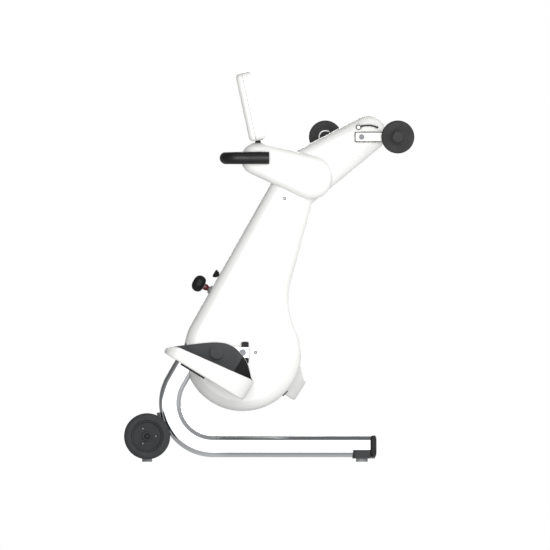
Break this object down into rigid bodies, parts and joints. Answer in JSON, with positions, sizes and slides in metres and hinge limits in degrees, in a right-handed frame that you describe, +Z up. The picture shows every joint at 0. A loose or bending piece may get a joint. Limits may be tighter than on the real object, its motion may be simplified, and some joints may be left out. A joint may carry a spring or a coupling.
{
  "type": "active passive trainer",
  "caption": "Floor standing leg and arm trainer: boomerang housing on a bent tube base, foot shells on leg cranks, hand grips on arm cranks, tilting display, handlebar and transport wheels.",
  "frame": {"origin": "on the floor under the middle of the overall length and width", "axes": "+Z up; +X from the transport wheels towards the user; +Y to the right of the user, so the view from -Y shows the left side"},
  "size_m": [0.842, 0.4622, 1.1324],
  "materials": {
    "white_abs": "moulded white ABS, glossy",
    "chrome_tube": "polished chromed steel tube",
    "polished_aluminium": "polished",
    "cast_aluminium": "cast, fine blasted",
    "black_rubber": "matt black",
    "wheel_rubber": "dark grey solid tyre",
    "grey_rubber": "matt grey",
    "grey_plastic": "fine textured",
    "pale_grey_plastic": "smooth moulded",
    "black_plastic": "fine textured",
    "steel": "zinc plated",
    "red_plastic": "smooth dark red",
    "dark_glass": "clear over a dark panel",
    "green_board": "lacquered board"
  },
  "bodies": {
    "base": {"base_rail_left": "chrome_tube", "base_rail_right": "chrome_tube", "end_cap_left": "black_plastic", "end_cap_right": "black_plastic", "end_shoe_left": "black_rubber", "end_shoe_right": "black_rubber", "wheel_beam": "cast_aluminium", "wheel_foot_left": "grey_rubber", "wheel_foot_right": "grey_rubber", "housing_left": "white_abs", "housing_right": "white_abs", "inner_frame": "steel", "leg_motor": "cast_aluminium", "arm_motor": "cast_aluminium", "leg_belt": "black_rubber", "arm_belt": "black_rubber", "power_supply": "cast_aluminium", "control_board": "green_board", "power_inlet": "black_plastic", "lock_collar": "pale_grey_plastic", "head_housing": "white_abs", "display_neck": "black_plastic", "handlebar_tube": "steel", "handlebar_foam": "black_rubber"},
    "leg_crankset": {"leg_axle": "steel", "leg_crank_left": "polished_aluminium", "leg_crank_right": "polished_aluminium", "leg_clamp_left": "black_plastic", "leg_clamp_right": "black_plastic", "pedal_pin_left": "steel", "pedal_pin_right": "steel", "leg_pulley": "cast_aluminium"},
    "foot_left": {"foot_shell_left": "white_abs", "foot_liner_left": "grey_rubber", "soleplate_left": "black_plastic"},
    "foot_right": {"foot_shell_right": "white_abs", "foot_liner_right": "grey_rubber", "soleplate_right": "black_plastic"},
    "leg_rotor": {"leg_motor_pulley": "steel"},
    "arm_crankset": {"arm_axle": "steel", "arm_crank_left": "black_plastic", "arm_crank_right": "black_plastic", "arm_cover_left": "white_abs", "arm_cover_right": "white_abs", "arm_pulley": "cast_aluminium"},
    "arm_rotor": {"arm_motor_pulley": "steel"},
    "lever_left": {"arm_lever_left": "black_plastic"},
    "lever_right": {"arm_lever_right": "black_plastic"},
    "grip_left": {"hand_grip_left": "black_rubber"},
    "grip_right": {"hand_grip_right": "black_rubber"},
    "display": {"display_back": "white_abs", "display_front": "white_abs", "display_glass": "dark_glass"},
    "wheel_left": {"wheel_tyre_left": "wheel_rubber", "wheel_hub_left": "grey_plastic"},
    "wheel_right": {"wheel_tyre_right": "wheel_rubber", "wheel_hub_right": "grey_plastic"},
    "lock_pin": {"lock_stem": "red_plastic", "lock_knob": "black_plastic"},
    "turn_knob": {"height_knob": "black_plastic"}
  },
  "joints": [
    {"name": "leg_crank_spin", "type": "hinge", "parent": "base", "child": "leg_crankset", "pos_m": [-0.077, 0, 0.317], "axis": [0, 1, 0], "continuous": true},
    {"name": "foot_left_pivot", "type": "hinge", "parent": "leg_crankset", "child": "foot_left", "pos_m": [-0.152, 0, 0.317], "axis": [0, 1, 0], "continuous": true},
    {"name": "foot_right_pivot", "type": "hinge", "parent": "leg_crankset", "child": "foot_right", "pos_m": [-0.002, 0, 0.317], "axis": [0, 1, 0], "continuous": true},
    {"name": "leg_rotor_spin", "type": "hinge", "parent": "base", "child": "leg_rotor", "pos_m": [-0.015, 0, 0.469], "axis": [0, 1, 0], "continuous": true},
    {"name": "arm_crank_spin", "type": "hinge", "parent": "base", "child": "arm_crankset", "pos_m": [0.268, 0, 0.942], "axis": [0, 1, 0], "continuous": true},
    {"name": "arm_rotor_spin", "type": "hinge", "parent": "base", "child": "arm_rotor", "pos_m": [0.162, 0, 0.862], "axis": [0, 1, 0], "continuous": true},
    {"name": "lever_left_pivot", "type": "hinge", "parent": "arm_crankset", "child": "lever_left", "pos_m": [0.259, 0, 0.97], "axis": [0, 1, 0], "range_deg": [-60, 0]},
    {"name": "lever_right_pivot", "type": "hinge", "parent": "arm_crankset", "child": "lever_right", "pos_m": [0.277, 0, 0.914], "axis": [0, 1, 0], "range_deg": [-60, 0]},
    {"name": "grip_left_spin", "type": "hinge", "parent": "arm_crankset", "child": "grip_left", "pos_m": [0.373, 0, 0.942], "axis": [0, 1, 0], "continuous": true},
    {"name": "grip_right_spin", "type": "hinge", "parent": "arm_crankset", "child": "grip_right", "pos_m": [0.163, 0, 0.942], "axis": [0, 1, 0], "continuous": true},
    {"name": "display_tilt", "type": "hinge", "parent": "base", "child": "display", "pos_m": [-0.0313, 0, 0.921], "axis": [0, 1, 0], "range_deg": [-15, 15]},
    {"name": "wheel_left_spin", "type": "hinge", "parent": "base", "child": "wheel_left", "pos_m": [-0.354, 0, 0.074], "axis": [0, 1, 0], "continuous": true},
    {"name": "wheel_right_spin", "type": "hinge", "parent": "base", "child": "wheel_right", "pos_m": [-0.354, 0, 0.074], "axis": [0, 1, 0], "continuous": true},
    {"name": "lock_pull", "type": "slide", "parent": "base", "child": "lock_pin", "axis": [-0.8703, 0, 0.4925], "range_m": [0, 0.008], "stiffness_N_per_m": 300, "springref_m": -0.01},
    {"name": "knob_turn", "type": "hinge", "parent": "base", "child": "turn_knob", "pos_m": [-0.14615, 0, 0.53998], "axis": [-0.8703, 0, 0.4925], "range_deg": [0, 540]}
  ],
  "couplings": [
    {"joint": "leg_rotor_spin", "follows": "leg_crank_spin", "ratio": 5},
    {"joint": "arm_rotor_spin", "follows": "arm_crank_spin", "ratio": 2.1429}
  ]
}
